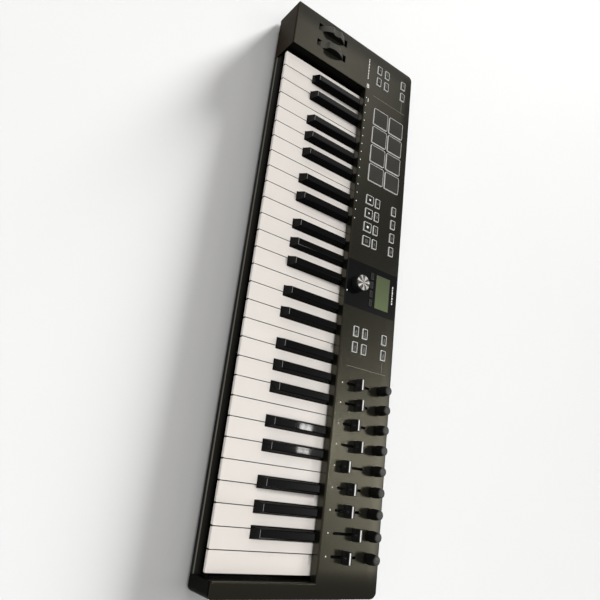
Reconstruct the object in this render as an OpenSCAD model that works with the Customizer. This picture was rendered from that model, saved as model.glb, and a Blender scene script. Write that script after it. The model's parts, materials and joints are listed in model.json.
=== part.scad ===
// Four-octave keyboard controller, 49 synth-action keys, with wheels, pads,
// faders and endless knobs on a flat panel behind the keys.
// Origin: centre of the footprint, on the surface that the feet stand on.
// +X runs to the high notes, +Y to the rear, +Z up. Millimetres.

/* [Case] */
// Length of the case, left end to right end
body_len = 786; // [770:1:800]
// Depth of the case, front to rear
body_depth = 235; // [230:1:250]
// Height of the panel above the table
panel_z = 51; // [49:0.5:56]
// Wall thickness of the case mouldings
wall = 2.5; // [2:0.1:3]
// Width of the block that carries the two wheels
wheel_block_w = 77.3; // [70:0.1:85]
// Width of the right end cheek
cheek_w = 17.8; // [14:0.1:25]
// Depth of the key well, from the case front to the panel's front edge
well_depth = 138.25; // [134:0.25:142]
// Thickness of the flat bottom plate
base_t = 2.2; // [2:0.1:3]
// Height of the rubber feet
foot_h = 2.5; // [2:0.1:4]
// Plan radius of the rear corners
rear_corner_r = 12; // [6:1:16]
// Plan radius of the front corners
front_corner_r = 6; // [3:1:10]
// Radius along the case's top edges
edge_r = 2; // [0.6:0.1:2.2]

/* [Keys] */
// Distance from one white key to the next
key_pitch = 23.5; // [22:0.1:24]
// Height of the white key tops above the table
key_top_z = 36.5; // [35.5:0.5:38]
// Gap between two white keys
key_gap = 1; // [0.6:0.1:1.2]
// Width of a black key at its foot
sharp_w = 13.6; // [12:0.1:13.6]
// Width of a black key at its top
sharp_top_w = 8.8; // [8:0.1:10]
// Height of a black key above the white tops
sharp_h = 11.5; // [10:0.5:12]
// Length of a black key in front of the panel
sharp_len = 84; // [80:1:85]
// How far a key turns when it is pressed, in degrees
key_swing = 3.3; // [2.5:0.1:3.4]

/* [Wheels] */
// Radius of the pitch and modulation wheels
wheel_r = 27.3; // [25:0.1:27.5]
// Width of a wheel
wheel_w = 11.2; // [8:0.1:12]
// Distance between the two wheels
wheel_pitch = 28.2; // [26:0.1:30]
// Height of a wheel's top above the panel
wheel_rise = 9.5; // [7:0.5:11]
// How far the modulation wheel's notch leans to the front at rest, in degrees
mod_lean = 36; // [20:1:40]

/* [Faders and knobs] */
// Distance from one fader or knob to the next
fader_pitch = 26; // [24:0.5:28]
// Travel of a fader
fader_travel = 30; // [20:1:30]
// Width of a fader cap
fader_cap_w = 15.6; // [12:0.1:16]
// Height of a fader cap's top above the panel
fader_cap_h = 13.8; // [10:0.1:16]
// Diameter of a knob
knob_d = 13.6; // [12:0.1:15]
// Height of a knob's top above the panel
knob_h = 18; // [14:0.5:20]
// Diameter of the large encoder knob
encoder_d = 23.6; // [18:0.2:26]
// Height of the large encoder knob's top above the panel
encoder_h = 12.3; // [8:0.1:16]

/* [Pads and buttons] */
// Distance from one pad to the next
pad_pitch = 32.65; // [30:0.05:33]
// Side of a square pad
pad_w = 28.8; // [25:0.1:29]
// Width of a small button
button_w = 14.4; // [12:0.1:15]
// Depth of a small button
button_d = 8.6; // [6:0.1:9]
// Depth of a square transport button
square_d = 14; // [12:0.1:14]
// Height of buttons and pads above the panel
button_rise = 1.6; // [0.8:0.1:2]

/* [Hidden] */
$fn = 48;
eps = 0.01;
// Gap between pieces of one moulding that are drawn as separate solids
hair = 0.02;

// Case
x_left = -body_len / 2;
x_right = body_len / 2;
y_front = -body_depth / 2;
y_rear = body_depth / 2;
y_panel = y_front + well_depth;
panel_under = panel_z - wall;
well_x0 = x_left + wheel_block_w;
well_x1 = x_right - cheek_w;
floor_z = foot_h + base_t;
lip_under = key_top_z + 3;
slip_top_z = key_top_z - 13.5;
ledge_z = 10.4;

// Keys
octave = 7 * key_pitch;
semitone = octave / 12;
keys_x0 = (well_x0 + well_x1) / 2 - 29 * key_pitch / 2;
key_front_y = y_front + 0.8;
plate_t = 2.8;
lip_drop = 4.7;
lip_t = 1.8;
lever_z = key_top_z - 14;
lever_y1 = 40;
pivot_y = 54.25;
pivot_z = key_top_z - 9;
pivot_r = 2;
guide_y = pivot_y + 13;
rib_t = 1.6;
lug_w = 8;
sharp_y0 = y_front + 49.65;
sharp_slot = sharp_w / 2 + 0.55;
frame_z = 9.2;
frame_top = frame_z + 2;
board_t = 1.6;

// Boards and controls behind the panel
board_z = 38;
board_top = board_z + board_t;
row_front_y = 48.6;
row_mid_y = 64;
row_low_y = 45.3;
row_high_y = 61.4;
row_rear_y = 97.1;
pads_x0 = -277;
pads_y = [55.75, 88.2];
transport_x0 = -133.75;
transport_pitch = 21.95;
left_x = [-363.75, -342];
right_x = [67, 88.75];
window_w = 67.6;
encoder_y = 41.75;
context_y = 66.4;
context_pitch = 13.2;
context_w = 9.8;
context_d = 5.4;
lcd_y = 88.3;
lcd_w = 49.4;
lcd_d = 26;
fader_x0 = 138.75;
fader_y = 58.15;
knob_y = 97.25;
slot_w = 2.4;
slot_len = fader_travel + 8.6;
cap_t = 5.2;
shaft_r = 3;
bush_r = 3.6;
bush_hole_r = 3.8;
run_gap = 0.06;
// How far each fader stands from the middle of its travel, front to rear
fader_rest = [-3, 0, -4, 5, -13, -1, -2, 14, 0];

// Wheels
wheel_x = [x_left + 21.35, x_left + 21.35 + wheel_pitch];
wheel_y = y_front + 67.75;
wheel_z = panel_z + wheel_rise - wheel_r;
wheel_slot_len = 54.3;
axle_r = 2.5;

// Case screws
screw_r = 1.25;
head_r = 2.8;
head_t = 1.2;

// Connectors in the rear wall, all centred at this height
socket_z = 25;
midi_mouth_r = 7.2;
midi_collar_r = 8.9;
usb_x = -340;
midi_x = -300;
jack_x = [-262, -236];

white = [0.93, 0.91, 0.87];
black = [0.06, 0.06, 0.06];
shell = [0.2, 0.195, 0.17];
dark = [0.12, 0.12, 0.11];

function boundary_x(i) = keys_x0 + i * key_pitch;
// How far each black key stands off the gap between its two white keys
function sharp_shift(i) = [0, -2.4, 2.4, 0, -3.6, 0, 3.6][i % 7];
function has_sharp(i) = i > 0 && i < 29 && i % 7 != 0 && i % 7 != 3;
function sharp_x(i) = boundary_x(i) + sharp_shift(i);
function tail_x0(w) = has_sharp(w) ? sharp_x(w) + sharp_slot : boundary_x(w) + key_gap / 2;
function tail_x1(w) =
  has_sharp(w + 1) ? sharp_x(w + 1) - sharp_slot : boundary_x(w + 1) - key_gap / 2;
// Which semitone of the octave a white key or a black key is
function white_step(w) = [0, 2, 4, 5, 7, 9, 11][w % 7];
function sharp_step(i) = [0, 1, 3, 0, 6, 8, 10][i % 7];
function step_x(oct, step) = keys_x0 + oct * octave + (step + 0.5) * semitone;
function white_lug_x(w) = step_x(floor(w / 7), white_step(w));
function sharp_lug_x(i) = step_x(floor(i / 7), sharp_step(i));
function knob_x(k) = fader_x0 + k * fader_pitch;

// A box from its two corners
module box(a, b) {
  translate(a)
    cube([b[0] - a[0], b[1] - a[1], b[2] - a[2]]);
}

// A flat rectangle with round corners, centred
module round_rect(w, d, r) {
  square([w - 2 * r, d], center = true);
  square([w, d - 2 * r], center = true);
  for (sx = [-1, 1], sy = [-1, 1])
    translate([sx * (w / 2 - r), sy * (d / 2 - r)])
      circle(r);
}

// The same with its middle at x, y and its height from z0 to z1
module round_block(x, y, w, d, z0, z1, r) {
  translate([x, y, z0])
    linear_extrude(z1 - z0)
      round_rect(w, d, r);
}

// A shape drawn in Y and Z, pushed along X from x0 to x1
module along_x(x0, x1) {
  translate([x0, 0, 0])
    rotate([90, 0, 90])
      linear_extrude(x1 - x0)
        children();
}

// A shape drawn in X and Z, pushed along Y from y0 to y1
module along_y(y0, y1) {
  translate([0, y1, 0])
    rotate([90, 0, 0])
      linear_extrude(y1 - y0)
        children();
}

module rod_x(x0, x1, y, z, r) {
  translate([x0, y, z])
    rotate([0, 90, 0])
      cylinder(h = x1 - x0, r = r);
}

module rod_z(x, y, z0, z1, r) {
  translate([x, y, z0])
    cylinder(h = z1 - z0, r = r);
}

// ---------- Case ----------

// Footprint of the case, drawn in by a margin
module plan(m) {
  fr = max(front_corner_r - m, 0.5);
  rr = max(rear_corner_r - m, 0.5);
  x = x_right - m;
  y = y_rear - m;
  translate([-x, -y + fr])
    square([2 * x, 2 * y - fr - rr]);
  translate([-x + fr, -y])
    square([2 * (x - fr), fr + eps]);
  translate([-x + rr, y - rr - eps])
    square([2 * (x - rr), rr + eps]);
  for (s = [-1, 1]) {
    translate([s * (x - fr), -y + fr])
      circle(fr);
    translate([s * (x - rr), y - rr])
      circle(rr);
  }
}

// Upright section of the case, a width across, with round top edges
module section(half, m) {
  r = edge_r;
  h = half - m;
  z = panel_z - m;
  translate([-h, 0])
    square([2 * h, z - r]);
  translate([-h + r, 0])
    square([2 * (h - r), z]);
  for (s = [-1, 1])
    translate([s * (h - r), z - r])
      circle(r);
}

// Everything inside the case's outer skin, drawn in by a margin
module volume(m, z0) {
  intersection() {
    translate([0, 0, z0])
      linear_extrude(panel_z)
        plan(m);
    along_y(y_front - 1, y_rear + 1)
      section(x_right, m);
    along_x(x_left - 1, x_right + 1)
      section(y_rear, m);
  }
}

// The waste of a rounded edge: a corner less a quarter circle
module edge_waste() {
  r = edge_r;
  difference() {
    translate([-1, -r])
      square([1 + r, r + 1]);
    translate([r, -r])
      circle(r);
    translate([r, -r])
      square([1, 2 * r], center = false);
  }
}

// Rounds the top edges of the key well: panel front, wheel block and cheek
module well_edges() {
  r = edge_r;
  translate([0, y_panel, panel_z])
    along_x(well_x0, well_x1)
      edge_waste();
  for (s = [-1, 1])
    translate([s < 0 ? well_x0 : well_x1, 0, panel_z])
      mirror([s < 0 ? 1 : 0, 0, 0])
        along_y(y_front - 1, y_panel)
          edge_waste();
}

module button_holes() {
  g = 0.35;
  z0 = panel_under - 1;
  z1 = panel_z + 1;
  for (x = concat(left_x, right_x), y = [row_low_y, row_high_y, row_rear_y])
    round_block(x, y, button_w + 2 * g, button_d + 2 * g, z0, z1, 1.3);
  for (i = [0:3]) {
    x = transport_x0 + i * transport_pitch;
    round_block(x, row_front_y, button_w + 2 * g, square_d + 2 * g, z0, z1, 1.3);
    round_block(x, row_mid_y, button_w + 2 * g, button_d + 2 * g, z0, z1, 1.3);
    round_block(x, row_rear_y, button_w + 2 * g, button_d + 2 * g, z0, z1, 1.3);
  }
}

module pad_holes() {
  for (i = [0:3], y = pads_y)
    round_block(pads_x0 + i * pad_pitch, y, pad_w + 0.8, pad_w + 0.8,
      panel_under - 1, panel_z + 1, 2.4);
}

module context_places() {
  for (i = [-1.5:1:1.5])
    translate([i * context_pitch, context_y, 0])
      children();
}

module fader_slots() {
  for (k = [0:8])
    round_block(knob_x(k), fader_y, slot_w, slot_len, panel_under - 1, panel_z + 1, 1.1);
}

module wheel_slots() {
  for (x = wheel_x)
    round_block(x, wheel_y - 0.9, wheel_w + 0.8, wheel_slot_len,
      panel_under - 1, panel_z + 1, 0.6);
}

// Case screw places: the front row hides behind the key slip
screw_places = [
  [x_left + 12, y_front + 16], [x_left + 60, y_front + 16], [x_left + 12, 8],
  [x_left + 12, y_rear - 22], [-155, y_rear - 12], [-46, y_rear - 12],
  [178, y_rear - 12], [x_right - 8, y_rear - 22], [x_right - 8, 8],
  [x_right - 8, y_front + 16]
];

// Board posts that hang from the panel
post_places = [
  [-366, 79], [-310, 100], [-150, 80], [-48, 80], [50, 100],
  [120, 100], [368, 100], [120, 30], [368, 30], [-310, 30]
];

// The moulded case before it is divided: a shell open below and at the key well
module case_shell() {
  difference() {
    volume(0, floor_z);
    volume(wall, floor_z - 1);
    box([well_x0, y_front - 1, floor_z - 1], [well_x1, y_panel, panel_z + 1]);
    well_edges();
  }
}

// Top plate behind the keys, with a lip down to the keys' tails
module control_panel() {
  color(shell)
    box([well_x0, y_panel, lip_under], [well_x1, y_panel + wall, panel_under - hair]);
  color(shell)
  difference() {
    intersection() {
      case_shell();
      box([x_left, y_panel, panel_under], [x_right, y_rear, panel_z]);
    }
    pad_holes();
    button_holes();
    fader_slots();
    for (k = [0:8])
      rod_z(knob_x(k), knob_y, panel_under - 1, panel_z + 1, bush_hole_r);
    rod_z(0, encoder_y, panel_under - 1, panel_z + 1, bush_hole_r);
    context_places()
      round_block(0, 0, context_w + 0.7, context_d + 0.7, panel_under - 1, panel_z + 1, 0.8);
    box([-window_w / 2, y_panel - 1, panel_z - 1.2], [window_w / 2, y_rear - 1.8, panel_z + 1]);
    round_block(0, lcd_y, lcd_w + 0.6, lcd_d + 0.6, panel_under - 1, panel_z + 1, 0.6);
  }
}

// Flat rear wall with its sockets' holes, and a side wall with a round corner at each
// end of it. The rear wall is divided on both sides of the round socket and through the
// middle of it, and all its lengths meet a hair apart
module case_walls() {
  x = x_right - rear_corner_r;
  midi_x0 = midi_x - 20;
  midi_x1 = midi_x + 19;
  y0 = y_rear - wall;
  color(shell) {
    difference() {
      union() {
        box([-x, y0, floor_z], [midi_x0 - hair, y_rear, panel_under]);
        box([midi_x0, y0, floor_z], [midi_x1, y_rear, socket_z - hair]);
        box([midi_x0, y0, socket_z], [midi_x1, y_rear, panel_under]);
        box([midi_x1 + hair, y0, floor_z], [x, y_rear, panel_under]);
      }
      rear_cutouts();
    }
    for (s = [-1, 1])
      intersection() {
        case_shell();
        translate([s * (x + rear_corner_r / 2 + hair), 0, 0])
          box([-rear_corner_r / 2, y_panel, floor_z], [rear_corner_r / 2, y_rear, panel_under]);
      }
  }
}

// Block at the left of the keys, with a slot for each wheel
module wheel_block() {
  color(shell)
  difference() {
    union() {
      intersection() {
        case_shell();
        box([x_left, y_front, floor_z], [well_x0, y_panel, panel_z]);
      }
      box([well_x0 - wall, y_front + wall - eps, floor_z], [well_x0, y_panel, panel_under + eps]);
    }
    wheel_slots();
  }
}

// Cheek at the right of the keys
module end_cheek() {
  color(shell) {
    intersection() {
      case_shell();
      box([well_x1, y_front, floor_z], [x_right, y_panel, panel_z]);
    }
    box([well_x1, y_front + wall - eps, floor_z], [well_x1 + wall, y_panel, panel_under + eps]);
  }
}

// Front wall under the keys: a low ledge, then a face that leans back so that the
// keys can dip in front of it
module key_slip() {
  foot_y = y_front + 0.3;
  top_y = y_front + 3.3;
  color(shell)
  along_x(well_x0, well_x1)
    polygon([
      [foot_y, floor_z], [foot_y, ledge_z - 0.6], [foot_y + 0.2, ledge_z - 0.15],
      [foot_y + 0.6, ledge_z], [foot_y + 1.3, ledge_z + 0.1], [top_y, slip_top_z - 2.5],
      [top_y + 0.1, slip_top_z], [top_y + wall, slip_top_z], [top_y + wall, slip_top_z - 2.5],
      [foot_y + 1.3 + wall, ledge_z + 0.1], [foot_y + wall, floor_z]
    ]);
}

// Posts inside the case: for the case screws, the control board, the key frame
// and the connector board
module case_posts() {
  color(dark) {
    for (p = screw_places)
      difference() {
        rod_z(p[0], p[1], floor_z, panel_under, 3.4);
        rod_z(p[0], p[1], floor_z - 1, floor_z + 12, screw_r);
      }
    for (p = post_places)
      difference() {
        rod_z(p[0], p[1], board_top, panel_under, 3);
        rod_z(p[0], p[1], board_top - 1, board_top + 6, 1.1);
      }
    for (x = [-300:74:370], y = [-90, 60])
      box([x - 3, y - 3, floor_z], [x + 3, y + 3, frame_z]);
    for (x = [usb_x - 10, jack_x[1] + 10])
      box([x - 3, y_rear - 38, floor_z], [x + 3, y_rear - 8, socket_z - 11.6]);
  }
}

module rear_cutouts() {
  translate([usb_x, y_rear + 1, socket_z])
    rotate([90, 0, 0])
      linear_extrude(wall + 3)
        round_rect(13, 8, 2);
  translate([midi_x, y_rear + 1, socket_z])
    rotate([90, 0, 0])
      cylinder(h = wall + 3, r = 9.1);
  for (x = jack_x)
    translate([x, y_rear + 1, socket_z])
      rotate([90, 0, 0])
        cylinder(h = wall + 3, r = 6.1);
}

// Flat base of the case, drawn in a little, with its lower edges cut off
module bottom_plate() {
  inset = 0.6;
  c = 1.2;
  x = x_right - inset;
  y = y_rear - inset;
  color(dark)
  difference() {
    intersection() {
      translate([0, 0, foot_h])
        linear_extrude(base_t)
          plan(inset);
      along_x(-x, x)
        polygon([
          [-y + c, foot_h], [y - c, foot_h], [y, foot_h + c], [y, floor_z], [-y, floor_z],
          [-y, foot_h + c]
        ]);
      along_y(-y, y)
        polygon([
          [-x + c, foot_h], [x - c, foot_h], [x, foot_h + c], [x, floor_z], [-x, floor_z],
          [-x, foot_h + c]
        ]);
    }
    for (p = screw_places) {
      rod_z(p[0], p[1], foot_h - 1, floor_z + 1, screw_r + 0.35);
      rod_z(p[0], p[1], foot_h - 1, foot_h + head_t + 0.1, head_r + 0.3);
    }
  }
}

module rubber_feet() {
  color(black)
  for (x = [x_left + 30, 0, x_right - 30], y = [y_front + 22, y_rear - 22])
    translate([x, y, 0])
      rotate_extrude()
        polygon([[0, 0], [7.5, 0], [8.5, 1], [8.5, foot_h], [0, foot_h]]);
}

module case_screws() {
  color([0.25, 0.25, 0.26])
  for (p = screw_places)
    translate([p[0], p[1], foot_h + 0.1])
      difference() {
        union() {
          cylinder(h = head_t, r = head_r);
          cylinder(h = 12, r = screw_r);
        }
        for (a = [0, 90])
          rotate([0, 0, a])
            cube([3.2, 0.7, 1.4], center = true);
      }
}

// ---------- Display ----------

module display_window() {
  color(black)
  difference() {
    box([-window_w / 2 + 0.15, y_panel, panel_z - 1.2], [window_w / 2 - 0.15, y_rear - 1.95, panel_z]);
    round_block(0, lcd_y, lcd_w + 0.2, lcd_d + 0.2, panel_z - 2, panel_z + 1, 0.6);
    rod_z(0, encoder_y, panel_z - 2, panel_z + 1, bush_hole_r);
    context_places()
      round_block(0, 0, context_w + 0.7, context_d + 0.7, panel_z - 2, panel_z + 1, 0.8);
    well_edges();
  }
}

module lcd_module() {
  color([0.42, 0.47, 0.34]) {
    round_block(0, lcd_y, lcd_w, lcd_d, panel_under - 0.3, panel_z - 0.4, 0.6);
    box([-lcd_w / 2 - 4, lcd_y - lcd_d / 2 - 4, board_top],
      [lcd_w / 2 + 4, lcd_y + lcd_d / 2 + 3, panel_under - 0.3]);
  }
}

// ---------- Electronics ----------

module switch_at(x, y) {
  box([x - 3, y - 3, board_top - eps], [x + 3, y + 3, board_top + 3.8]);
}

module circuit_boards() {
  color([0.05, 0.22, 0.12]) {
    // Control board
    difference() {
      union() {
        box([x_left + 18, y_panel + 5, board_z], [x_right - 15, y_rear - 11, board_top]);
        for (x = concat(left_x, right_x), y = [row_low_y, row_high_y, row_rear_y])
          switch_at(x, y);
        for (i = [0:3], y = [row_front_y, row_mid_y + 1, row_rear_y])
          switch_at(transport_x0 + i * transport_pitch, y);
        context_places()
          switch_at(0, 0);
      }
      for (p = post_places)
        rod_z(p[0], p[1], board_z - 1, board_top + 1, 1.2);
      for (p = screw_places)
        rod_z(p[0], p[1], board_z - 1, board_top + 1, 4);
    }
    // Connector board
    box([usb_x - 14, y_rear - 42, socket_z - 11.6], [jack_x[1] + 14, y_rear - 4, socket_z - 10]);
    // Key contact board
    box([well_x0 + 3, -46, frame_top], [well_x1 - 3, -20, frame_top + board_t]);
    wheel_sensors();
  }
  pad_carrier();
}

module data_sockets() {
  usb_socket();
  midi_socket();
}

module usb_socket() {
  y1 = y_rear - wall - 0.2;
  color([0.7, 0.7, 0.72])
  difference() {
    union() {
      translate([usb_x, y1, socket_z])
        rotate([90, 0, 0])
          linear_extrude(7.4)
            round_rect(9, 3.3, 1.6);
      box([usb_x - 4.5, y1 - 7.4, socket_z - 10], [usb_x + 4.5, y1 - 1, socket_z - 1]);
    }
    translate([usb_x, y1 + 1, socket_z])
      rotate([90, 0, 0])
        linear_extrude(7.2)
          round_rect(8.4, 2.6, 1.29);
  }
  color(black)
    box([usb_x - 3.3, y1 - 6.3, socket_z - 0.35], [usb_x + 3.3, y1 - 1, socket_z + 0.35]);
}

// Shell of the round five-pin socket: two halves, a hair apart
module midi_socket() {
  y1 = y_rear - 0.4;
  color(black)
  difference() {
    union() {
      translate([midi_x, y1, socket_z])
        rotate([90, 0, 0])
          cylinder(h = 6, r = midi_collar_r);
      box([midi_x - 10, y1 - 17, socket_z - 10], [midi_x + 10, y1 - 3.2, socket_z + 10]);
    }
    translate([midi_x, y1 + 1, socket_z])
      rotate([90, 0, 0])
        cylinder(h = 14, r = midi_mouth_r);
    box([midi_x - 11, y1 - 18, socket_z - hair], [midi_x + 11, y1 + 1, socket_z]);
  }
}

// Insert in the bottom of that socket, with its pin holes
module midi_insert() {
  y1 = y_rear - 9.4;
  color(black)
  difference() {
    translate([midi_x, y1, socket_z])
      rotate([90, 0, 0])
        cylinder(h = 3.9, r = midi_mouth_r - hair);
    for (a = [-90:45:90])
      translate([midi_x + 3.9 * sin(a), y1 + 1, socket_z - 3.9 * cos(a)])
        rotate([90, 0, 0])
          cylinder(h = 4, r = 0.8);
  }
}

module pedal_jacks() {
  y1 = y_rear - 0.4;
  color([0.15, 0.15, 0.16])
  for (x = jack_x)
    difference() {
      union() {
        translate([x, y1, socket_z])
          rotate([90, 0, 0])
            cylinder(h = 6, r = 5.9);
        box([x - 8, y1 - 34, socket_z - 10], [x + 8, y1 - 3.2, socket_z + 8]);
      }
      translate([x, y1 + 1, socket_z])
        rotate([90, 0, 0])
          cylinder(h = 30, r = 3.25);
    }
}

// Small inner bodies: of the faders, of the rotary controls and of the round socket
module control_bodies() {
  fader_pots();
  rotary_bodies();
  midi_insert();
}

module fader_pots() {
  color([0.55, 0.56, 0.58])
  for (k = [0:8])
    difference() {
      box([knob_x(k) - 4.5, fader_y - 23, board_top], [knob_x(k) + 4.5, fader_y + 22, board_top + 6.9]);
      box([knob_x(k) - 1, fader_y - 19, board_top + 1.6], [knob_x(k) + 1, fader_y + 19, board_top + 8]);
    }
}

module rotary_body(x, y, w) {
  difference() {
    union() {
      box([x - w / 2, y - w / 2, board_top], [x + w / 2, y + w / 2, board_top + 6.4]);
      rod_z(x, y, board_top + 6, panel_z - 0.4, bush_r);
    }
    rod_z(x, y, board_top + 1, panel_z + 1, shaft_r + run_gap);
  }
}

module rotary_bodies() {
  color([0.6, 0.6, 0.62]) {
    for (k = [0:8])
      rotary_body(knob_x(k), knob_y, 12);
    rotary_body(0, encoder_y, 14);
  }
}

// Tray that holds the pads' sensors up to the pad sheet
module pad_carrier() {
  w = 4 * pad_pitch - 2;
  color([0.3, 0.3, 0.3])
  difference() {
    box([pads_x0 - pad_pitch / 2 + 1, pads_y[0] - 17, board_top],
      [pads_x0 - pad_pitch / 2 + 1 + w, pads_y[1] + 15, board_top + 4]);
    for (i = [0:3], y = pads_y)
      round_block(pads_x0 + i * pad_pitch, y, pad_w - 6, pad_w - 6,
        board_top + 3.4, board_top + 5, 1);
  }
}

// ---------- Controls ----------

// A cap in a panel hole, with the flange that keeps it in
module button_cap(x, y, w, d) {
  round_block(x, y, w, d, panel_under - 1.2, panel_z + button_rise, 1);
  round_block(x, y, w + 2.4, d + 2.4, panel_under - 1.6, panel_under - 0.2, 1.5);
  rod_z(x, y, board_top + 5.2, panel_under - 1, 1.5);
}

// Six buttons at the left end and six to the right of the display
module bank_buttons() {
  color(white)
  for (x = concat(left_x, right_x), y = [row_low_y, row_high_y, row_rear_y])
    button_cap(x, y, button_w, button_d);
}

module transport_buttons() {
  color(white)
  for (i = [0:3]) {
    x = transport_x0 + i * transport_pitch;
    button_cap(x, row_front_y, button_w, square_d);
    button_cap(x, row_mid_y, button_w, button_d);
    button_cap(x, row_rear_y, button_w, button_d);
  }
}

module context_buttons() {
  color(black)
  context_places() {
    round_block(0, 0, context_w, context_d, panel_under - 1.2, panel_z + 0.8, 0.7);
    round_block(0, 0, context_w + 1.6, context_d + 2.4, panel_under - 1.6, panel_under - 0.2, 1);
    rod_z(0, 0, board_top + 5.2, panel_under - 1, 1.5);
  }
}

module pads() {
  w = 4 * pad_pitch - 3;
  x0 = pads_x0 - pad_pitch / 2 + 1.5;
  color([0.16, 0.16, 0.16]) {
    for (i = [0:3], y = pads_y)
      round_block(pads_x0 + i * pad_pitch, y, pad_w, pad_w, board_top + 5.4,
        panel_z + button_rise, 2);
    box([x0, pads_y[0] - 16, board_top + 5], [x0 + w, pads_y[1] + 14, board_top + 6]);
  }
}

module knob(k) {
  r = knob_d / 2;
  z0 = panel_z + 0.5;
  z1 = panel_z + knob_h;
  color(black)
  translate([knob_x(k), knob_y, 0])
    rotate_extrude()
      polygon(concat(
        [[shaft_r + 0.02, z0], [r - 1, z0], [r - 0.85, z0 + 0.5], [r - 0.35, z0 + 2],
          [r - 0.05, z0 + 4], [r, z0 + 5.5], [r - 0.15, z0 + 9], [r - 0.7, z1 - 4]],
        [for (a = [15:15:90]) [r - 2 + 0.9 * cos(a), z1 - 0.9 + 0.9 * sin(a)]],
        [[0, z1], [0, z1 - 4], [shaft_r + 0.02, z1 - 4]]
      ));
  color([0.6, 0.6, 0.62])
    rod_z(knob_x(k), knob_y, board_top + 1.4, z1 - 4.1, shaft_r);
}

module encoder_knob() {
  r = encoder_d / 2;
  z0 = panel_z + 0.5;
  z1 = panel_z + encoder_h;
  color(black)
  translate([0, encoder_y, 0])
    rotate_extrude()
      polygon([
        [shaft_r + 0.02, z0], [r - 0.4, z0], [r, z0 + 0.4], [r, z1 - 2], [r - 0.5, z1 - 0.9],
        [r - 1, z1 - 0.9], [r - 1, z1 - 1.6], [0, z1 - 1.6], [0, z1 - 4], [shaft_r + 0.02, z1 - 4]
      ]);
  color([0.6, 0.6, 0.62])
    rod_z(0, encoder_y, board_top + 1.4, z1 - 4.1, shaft_r);
}

module encoder_cap() {
  r = encoder_d / 2 - 1.02;
  z1 = panel_z + encoder_h;
  color([0.85, 0.85, 0.86])
  translate([0, encoder_y, 0])
    rotate_extrude()
      polygon([
        [0, z1 - 1.6], [r, z1 - 1.6], [r, z1 - 0.9], [r - 0.6, z1 - 0.3], [r - 2.6, z1],
        [0, z1]
      ]);
}

module fader(k) {
  x = knob_x(k);
  y = fader_y + fader_rest[k];
  z0 = panel_z + 0.6;
  z1 = panel_z + fader_cap_h;
  h = cap_t / 2;
  color(black) {
    // The blade: thin front to rear, hollow-sided, with a rounded top
    intersection() {
      along_x(x - fader_cap_w / 2, x + fader_cap_w / 2)
        polygon(concat(
          [[y - h, z0], [y + h, z0], [y + h, z0 + 2]],
          [for (t = [0.2:0.2:0.8]) [y + h - 0.5 * sin(180 * t), z0 + 2 + t * (z1 - z0 - 4)]],
          [for (a = [0:30:90]) [y + h - 0.7 + 0.7 * cos(a), z1 - 0.7 + 0.7 * sin(a)]],
          [for (a = [90:30:180]) [y - h + 0.7 + 0.7 * cos(a), z1 - 0.7 + 0.7 * sin(a)]],
          [for (t = [0.8:-0.2:0.2]) [y - h + 0.5 * sin(180 * t), z0 + 2 + t * (z1 - z0 - 4)]],
          [[y - h, z0 + 2]]
        ));
      translate([x, 0, 0])
        along_y(y - h - 1, y + h + 1)
          polygon([
            [0.3 - fader_cap_w / 2, z0], [fader_cap_w / 2 - 0.3, z0], [fader_cap_w / 2, z0 + 5],
            [fader_cap_w / 2 - 0.6, z1 - 1], [fader_cap_w / 2 - 1.1, z1],
            [1.1 - fader_cap_w / 2, z1], [0.6 - fader_cap_w / 2, z1 - 1],
            [-fader_cap_w / 2, z0 + 5]
          ]);
    }
    box([x - 0.6, y - 2, board_top + 2.2], [x + 0.6, y + 2, z0 + eps]);
  }
}

// ---------- Wheels ----------

module wheel(x, lean) {
  e = 0.8;
  translate([x, wheel_y, wheel_z])
    difference() {
      rotate([0, 90, 0])
        rotate_extrude($fn = 96)
          polygon([
            [axle_r + run_gap, -wheel_w / 2], [wheel_r - e, -wheel_w / 2],
            [wheel_r - 0.25, -wheel_w / 2 + 0.25], [wheel_r, -wheel_w / 2 + e],
            [wheel_r, wheel_w / 2 - e], [wheel_r - 0.25, wheel_w / 2 - 0.25],
            [wheel_r - e, wheel_w / 2], [axle_r + run_gap, wheel_w / 2]
          ]);
      rotate([lean, 0, 0])
        translate([-wheel_w, 0, wheel_r + 8.4])
          rotate([0, 90, 0])
            cylinder(h = 2 * wheel_w, r = 11.4);
    }
}

module pitch_wheel() {
  color(dark)
    wheel(wheel_x[0], 0);
}

module mod_wheel() {
  color(dark)
    wheel(wheel_x[1], mod_lean);
}

// Left faces of the bracket's four uprights
bracket_x = [
  wheel_x[0] - wheel_w / 2 - 4.2, wheel_x[0] + wheel_w / 2 + 4.7,
  wheel_x[1] - wheel_w / 2 - 6.4, wheel_x[1] + wheel_w / 2 + 1.6
];

module wheel_bracket() {
  y0 = wheel_y - 32;
  y1 = wheel_y + 32;
  color([0.35, 0.35, 0.36])
  difference() {
    union() {
      for (x = bracket_x)
        along_x(x, x + 2.5)
          polygon([
            [y0, floor_z], [y1, floor_z], [y1, floor_z + 7], [wheel_y + 8, wheel_z + 6],
            [wheel_y - 8, wheel_z + 6], [y0, floor_z + 7]
          ]);
      box([bracket_x[0], y0, floor_z], [bracket_x[3] + 2.5, y0 + 3, floor_z + 7]);
      box([bracket_x[0], y1 - 3, floor_z], [bracket_x[3] + 2.5, y1, floor_z + 7]);
    }
    rod_x(bracket_x[0] - 1, bracket_x[3] + 4, wheel_y, wheel_z, axle_r);
  }
  color([0.75, 0.75, 0.76])
    rod_x(bracket_x[0] - 1, bracket_x[3] + 8, wheel_y, wheel_z, axle_r);
}

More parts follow.
